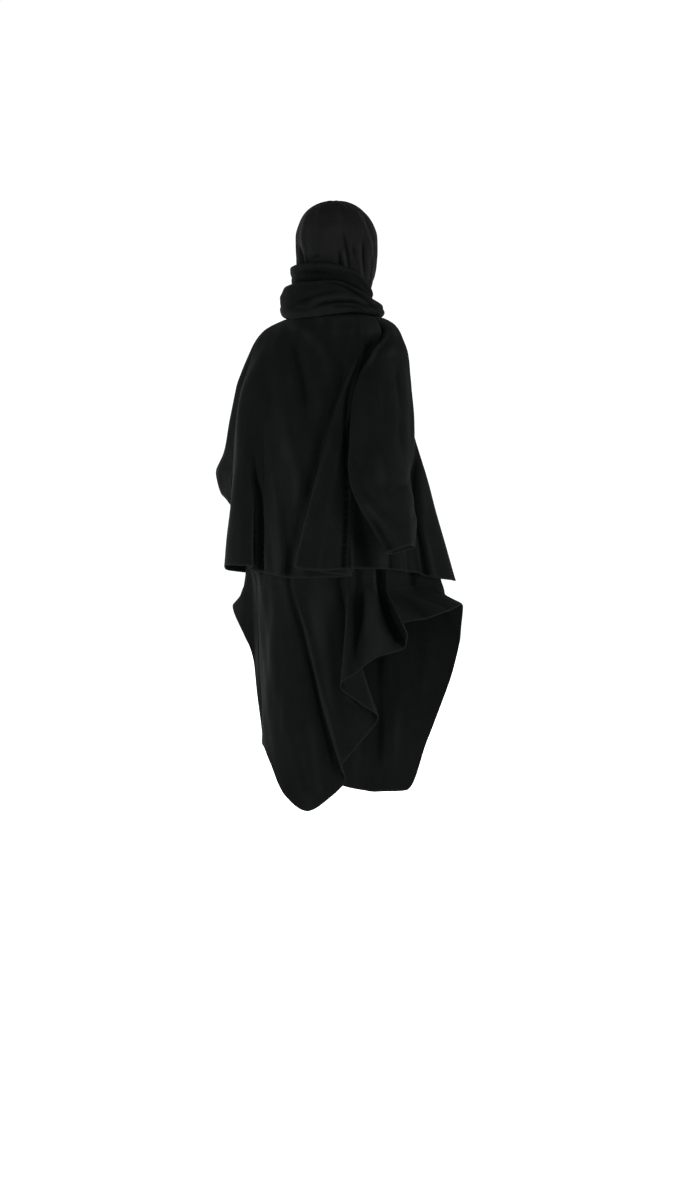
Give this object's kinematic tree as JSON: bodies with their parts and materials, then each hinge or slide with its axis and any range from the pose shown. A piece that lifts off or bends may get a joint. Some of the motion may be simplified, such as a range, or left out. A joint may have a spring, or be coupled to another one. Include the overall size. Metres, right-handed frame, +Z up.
{
  "type": "scarf coat",
  "caption": "Wide two-tier black wool coat, worn: caped upper tier with deep sleeves over a long draped tier, a wound scarf collar and a soft hood, all open and hollow.",
  "frame": {"origin": "middle of the shoulder line, where the wearer's shoulders hold the coat up", "axes": "+Z up, -Y the wearer's front, +X the wearer's left"},
  "size_m": [0.5996, 0.4635, 1.4422],
  "materials": {
    "wool": "matte black felted wool, thick clean-cut edges",
    "hood_cloth": "soft dark grey-black wool jersey"
  },
  "bodies": {
    "root": {"back_panel": "wool", "left_front": "wool", "right_front": "wool", "left_sleeve": "wool", "right_sleeve": "wool", "drape_back": "wool", "drape_cascade": "wool", "drape_right_front": "wool", "drape_left_front": "wool", "scarf_lower_wrap": "wool", "scarf_upper_wrap": "wool", "hood": "hood_cloth"}
  },
  "joints": []
}
